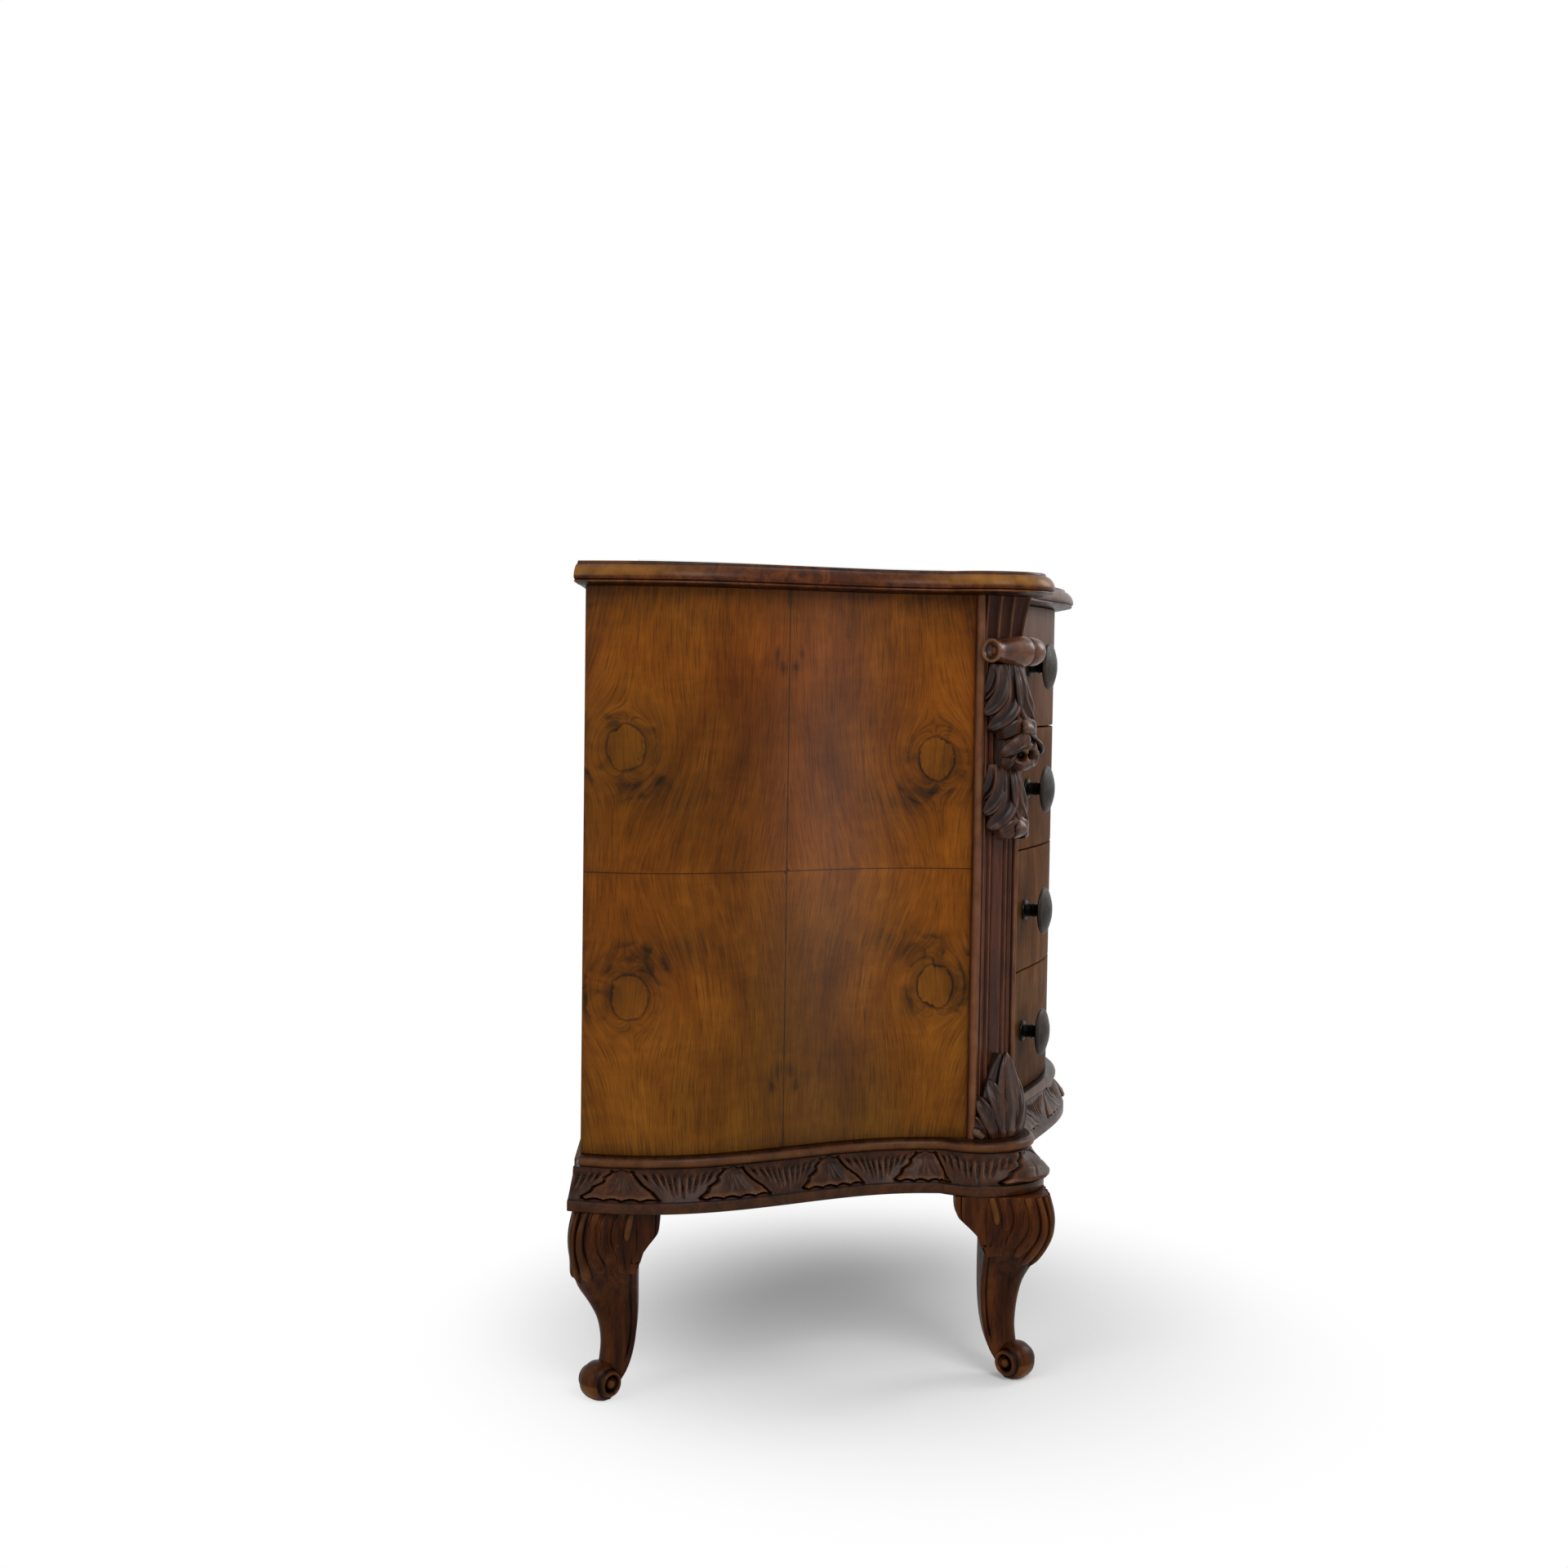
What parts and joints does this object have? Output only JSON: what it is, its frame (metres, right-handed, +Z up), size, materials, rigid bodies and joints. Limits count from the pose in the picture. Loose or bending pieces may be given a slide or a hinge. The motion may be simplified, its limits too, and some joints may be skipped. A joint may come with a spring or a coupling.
{
  "type": "serpentine chest of drawers",
  "caption": "Serpentine-front walnut chest of drawers with canted carved corner posts, carved plinth and cabriole legs.",
  "frame": {"origin": "centre of the bounding box in plan, on the floor under the feet", "axes": "+Z up, +X along the width, -Y towards the drawer fronts"},
  "size_m": [1.16, 0.6036, 0.8773],
  "materials": {
    "figured_walnut": "quarter-matched figured walnut veneer under satin varnish",
    "dark_walnut": "carved and turned solid walnut, dark stain, worn satin varnish",
    "drawer_veneer": "polished walnut veneer on shaped fronts",
    "drawer_wood": "plain unfinished light hardwood",
    "case_wood": "plain unfinished softwood and thin board",
    "bronze": "dark patinated bronze",
    "glass": "clear float glass with a pale green edge"
  },
  "bodies": {
    "case": {"back_panel": "case_wood", "back_stile_left": "case_wood", "back_stile_right": "case_wood", "base_bead_front": "dark_walnut", "base_bead_left": "dark_walnut", "base_bead_right": "dark_walnut", "bottom_board": "case_wood", "corner_post_left": "dark_walnut", "corner_post_right": "dark_walnut", "glass_plate": "glass", "leg_back_left": "dark_walnut", "leg_back_right": "dark_walnut", "leg_front_left": "dark_walnut", "leg_front_right": "dark_walnut", "plinth_back": "case_wood", "plinth_front": "dark_walnut", "plinth_left": "dark_walnut", "plinth_right": "dark_walnut", "post_drop_left": "dark_walnut", "post_drop_right": "dark_walnut", "post_foot_leaf_left": "dark_walnut", "post_foot_leaf_right": "dark_walnut", "post_roll_left": "dark_walnut", "post_roll_right": "dark_walnut", "shelf_1": "case_wood", "shelf_2": "case_wood", "shelf_3": "case_wood", "side_panel_left": "figured_walnut", "side_panel_right": "figured_walnut", "top_board": "dark_walnut", "top_frame": "case_wood"},
    "drawer_1": {"drawer_1_front": "drawer_veneer", "drawer_1_side_left": "drawer_wood", "drawer_1_side_right": "drawer_wood", "drawer_1_back": "drawer_wood", "drawer_1_bottom": "drawer_wood", "drawer_1_knob_left": "bronze", "drawer_1_knob_right": "bronze"},
    "drawer_2": {"drawer_2_front": "drawer_veneer", "drawer_2_side_left": "drawer_wood", "drawer_2_side_right": "drawer_wood", "drawer_2_back": "drawer_wood", "drawer_2_bottom": "drawer_wood", "drawer_2_knob_left": "bronze", "drawer_2_knob_right": "bronze"},
    "drawer_3": {"drawer_3_front": "drawer_veneer", "drawer_3_side_left": "drawer_wood", "drawer_3_side_right": "drawer_wood", "drawer_3_back": "drawer_wood", "drawer_3_bottom": "drawer_wood", "drawer_3_knob_left": "bronze", "drawer_3_knob_right": "bronze"},
    "drawer_4": {"drawer_4_front": "drawer_veneer", "drawer_4_side_left": "drawer_wood", "drawer_4_side_right": "drawer_wood", "drawer_4_back": "drawer_wood", "drawer_4_bottom": "drawer_wood", "drawer_4_knob_left": "bronze", "drawer_4_knob_right": "bronze"}
  },
  "joints": [
    {"name": "drawer_1_slide", "type": "slide", "parent": "case", "child": "drawer_1", "axis": [0, -1, 0], "range_m": [0, 0.3]},
    {"name": "drawer_2_slide", "type": "slide", "parent": "case", "child": "drawer_2", "axis": [0, -1, 0], "range_m": [0, 0.3]},
    {"name": "drawer_3_slide", "type": "slide", "parent": "case", "child": "drawer_3", "axis": [0, -1, 0], "range_m": [0, 0.3]},
    {"name": "drawer_4_slide", "type": "slide", "parent": "case", "child": "drawer_4", "axis": [0, -1, 0], "range_m": [0, 0.3]}
  ]
}
